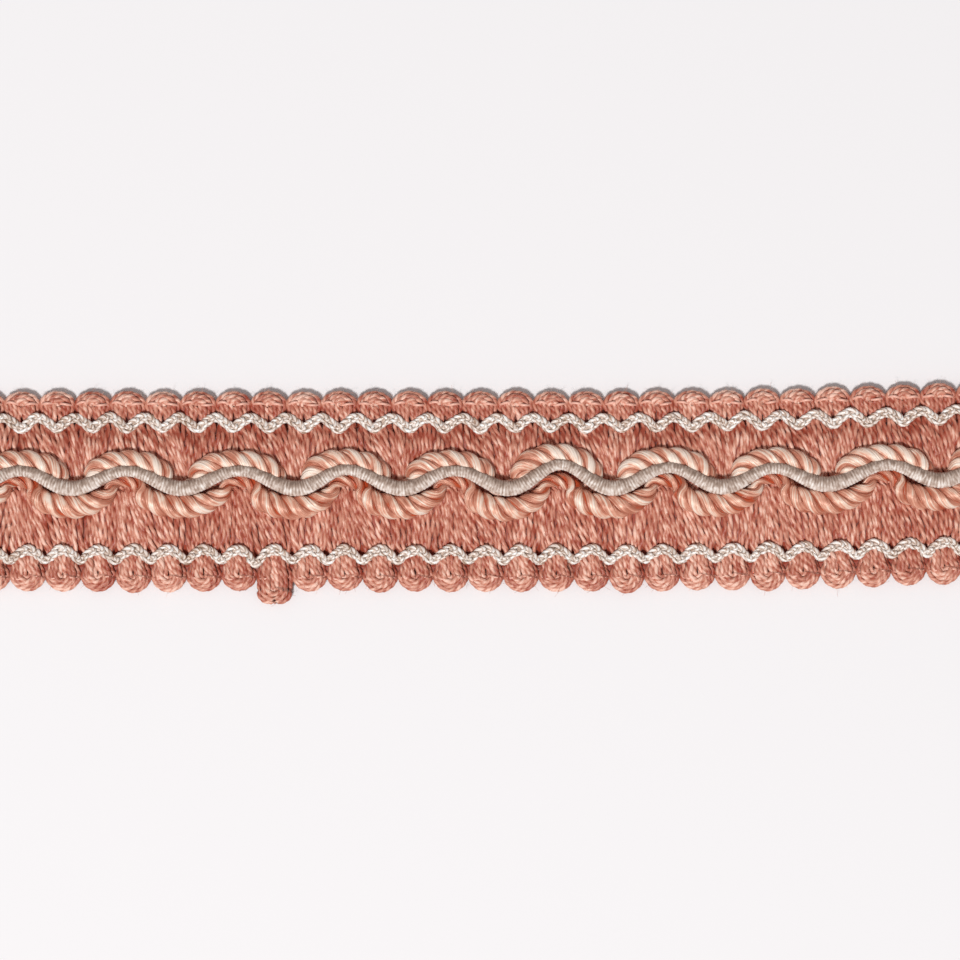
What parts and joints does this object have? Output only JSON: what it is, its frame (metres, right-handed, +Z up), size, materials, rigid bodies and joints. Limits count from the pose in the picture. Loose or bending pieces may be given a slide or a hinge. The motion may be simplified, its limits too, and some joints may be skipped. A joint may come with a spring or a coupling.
{
  "type": "wavy braid trim",
  "caption": "Flat upholstery braid with looped knobs along both edges, thin ivory edge cords, arched twisted satin cords and a waving wrapped cord.",
  "frame": {"origin": "on the flat back, under the middle of the strip's box", "axes": "+X along the strip, +Y across it to the far edge, +Z up from the back to the decorated face"},
  "size_m": [0.1268, 0.0276, 0.0049],
  "materials": {
    "coral_yarn": "spun two-ply coral yarn, soft low sheen",
    "ivory_cord": "ivory chain cord, lustrous",
    "peach_satin": "peach rayon cord, three plies, glossy",
    "beige_wrap": "beige thread wrapped closely round a core, silky"
  },
  "bodies": {
    "root": {"ground": "coral_yarn", "far_edge_cord": "ivory_cord", "near_edge_cord": "ivory_cord", "far_satin_cord": "peach_satin", "near_satin_cord": "peach_satin", "wrapped_cord": "beige_wrap"}
  },
  "joints": []
}
